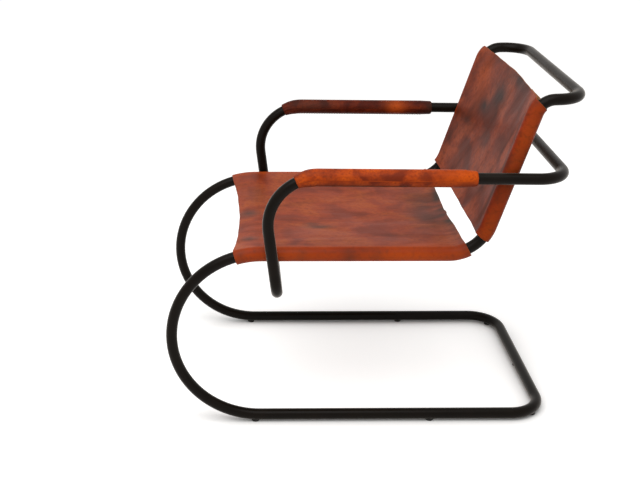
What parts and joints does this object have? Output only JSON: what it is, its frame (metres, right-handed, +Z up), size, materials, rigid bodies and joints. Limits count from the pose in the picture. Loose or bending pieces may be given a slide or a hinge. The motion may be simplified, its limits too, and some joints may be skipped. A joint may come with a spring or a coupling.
{
  "type": "cantilever lounge chair",
  "caption": "Cantilever lounge chair of bent black steel tube with tan leather sling seat and back and padded leather arm covers.",
  "frame": {"origin": "on the floor, under the middle of the chair's overall width and depth", "axes": "+Z up; -Y is the way the sitter faces, so +Y points to the chair's rear; +X is the sitter's left"},
  "size_m": [0.596, 0.9, 0.7745],
  "materials": {
    "black_tube": "black satin paint",
    "bare_steel": "bare steel",
    "zinc_steel": "zinc plated",
    "black_spacer": "matt",
    "sling_leather": "thick saddle leather, semi-gloss",
    "cover_leather": "saddle leather, semi-gloss",
    "felt_padding": "felt",
    "black_glide": "matt"
  },
  "bodies": {
    "root": {"main_frame_left": "black_tube", "main_frame_right": "black_tube", "arm_loop_left": "black_tube", "arm_loop_right": "black_tube", "floor_rail_sleeve": "bare_steel", "top_rail_sleeve": "bare_steel", "rear_bar_sleeve": "bare_steel", "crossbar_sleeve": "bare_steel", "seat_sling": "sling_leather", "back_sling": "sling_leather", "arm_cover_left": "cover_leather", "arm_cover_right": "cover_leather", "arm_pad_left": "felt_padding", "arm_pad_right": "felt_padding", "crossing_screws": "zinc_steel", "saddle_washers": "zinc_steel", "saddle_spacers": "black_spacer", "thread_inserts": "zinc_steel", "glides_front": "black_glide", "glides_middle": "black_glide", "glides_rear": "black_glide"}
  },
  "joints": []
}
